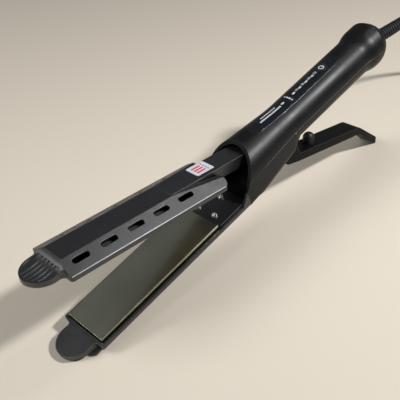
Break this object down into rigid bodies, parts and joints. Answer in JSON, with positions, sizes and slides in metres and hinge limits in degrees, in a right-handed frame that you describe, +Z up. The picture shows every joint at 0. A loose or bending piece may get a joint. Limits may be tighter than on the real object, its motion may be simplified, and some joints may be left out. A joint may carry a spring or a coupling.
{
  "type": "hair straightener",
  "caption": "Hair straightener with round handle, hinged jaws with flat heating plates, finger lever underneath, control panel, swivel cord outlet, cord put away in a tied hank, and plug.",
  "frame": {"origin": "on the surface it lies on, under the middle of the straightener's bounding box without the free cord", "axes": "+X toward the cord end of the handle, +Z up, jaws point to -X, the pivot pin runs along Y"},
  "size_m": [0.6424, 0.0501, 0.1063],
  "materials": {
    "satin_black": "satin moulded plastic",
    "gloss_black": "polished black",
    "plate_metal": "satin grey anodised",
    "steel": "brushed",
    "spring_steel": "bright",
    "heater_ceramic": "matt",
    "insulation": "woven glass",
    "black_rubber": "matt",
    "grey_collar": "satin",
    "light_lens": "tinted lens",
    "button_grey": "gloss",
    "label_white": "paper film",
    "board_green": "lacquered board",
    "cord_sheath": "satin",
    "pin_brass": "nickel plated"
  },
  "bodies": {
    "handle": {"handle_upper_shell": "satin_black", "handle_lower_shell": "satin_black", "lower_jaw_casing": "satin_black", "lower_jaw_cover": "satin_black", "cover_screw_1": "steel", "cover_screw_2": "steel", "cover_screw_3": "steel", "lower_heating_plate": "plate_metal", "lower_heater": "heater_ceramic", "lower_insulation_pad": "insulation", "lower_leaf_spring": "spring_steel", "lower_temperature_sensor": "heater_ceramic", "pivot_pin": "steel", "pivot_washer_1": "steel", "pivot_washer_2": "steel", "return_spring": "spring_steel", "control_panel": "gloss_black", "indicator_light_1": "light_lens", "indicator_light_2": "light_lens", "indicator_light_3": "light_lens", "indicator_light_4": "light_lens", "indicator_light_5": "light_lens", "circuit_board": "board_green", "power_switch": "gloss_black", "temperature_switch": "gloss_black", "shell_screw_1": "steel", "shell_screw_2": "steel", "end_cap": "satin_black", "cord": "cord_sheath", "cord_hank": "cord_sheath", "cord_lead": "cord_sheath", "cord_tie": "black_rubber", "plug_body": "satin_black", "plug_pin_1": "pin_brass", "plug_pin_2": "pin_brass"},
    "upper_jaw": {"upper_jaw_casing": "satin_black", "upper_jaw_arm": "satin_black", "upper_jaw_cover": "satin_black", "upper_heating_plate": "plate_metal", "upper_heater": "heater_ceramic", "upper_insulation_pad": "insulation", "upper_leaf_spring": "spring_steel", "upper_temperature_sensor": "heater_ceramic", "sticker": "label_white", "lever": "satin_black", "lever_screw_1": "steel", "lever_screw_2": "steel", "lever_bumper": "black_rubber"},
    "power_button": {"power_button": "button_grey"},
    "temperature_button": {"temperature_button": "button_grey"},
    "cord_swivel": {"swivel_collar": "grey_collar", "strain_relief": "black_rubber"}
  },
  "joints": [
    {"name": "jaw_hinge", "type": "hinge", "parent": "handle", "child": "upper_jaw", "pos_m": [0.01716, 0, 0.0608], "axis": [0, -1, 0], "range_deg": [0, 15.9], "stiffness_Nm_per_rad": 0.8, "springref_deg": -34.38},
    {"name": "power_press", "type": "slide", "parent": "handle", "child": "power_button", "axis": [0.2257, 0, -0.9742], "range_m": [0, 0.0006], "stiffness_N_per_m": 1200, "springref_m": -0.0003},
    {"name": "temperature_press", "type": "slide", "parent": "handle", "child": "temperature_button", "axis": [0.2257, 0, -0.9742], "range_m": [0, 0.0006], "stiffness_N_per_m": 1200, "springref_m": -0.0003},
    {"name": "cord_turn", "type": "hinge", "parent": "handle", "child": "cord_swivel", "pos_m": [0.12566, 0, 0.08871], "axis": [0.9998, 0, 0.0182], "range_deg": [-170, 170]}
  ]
}
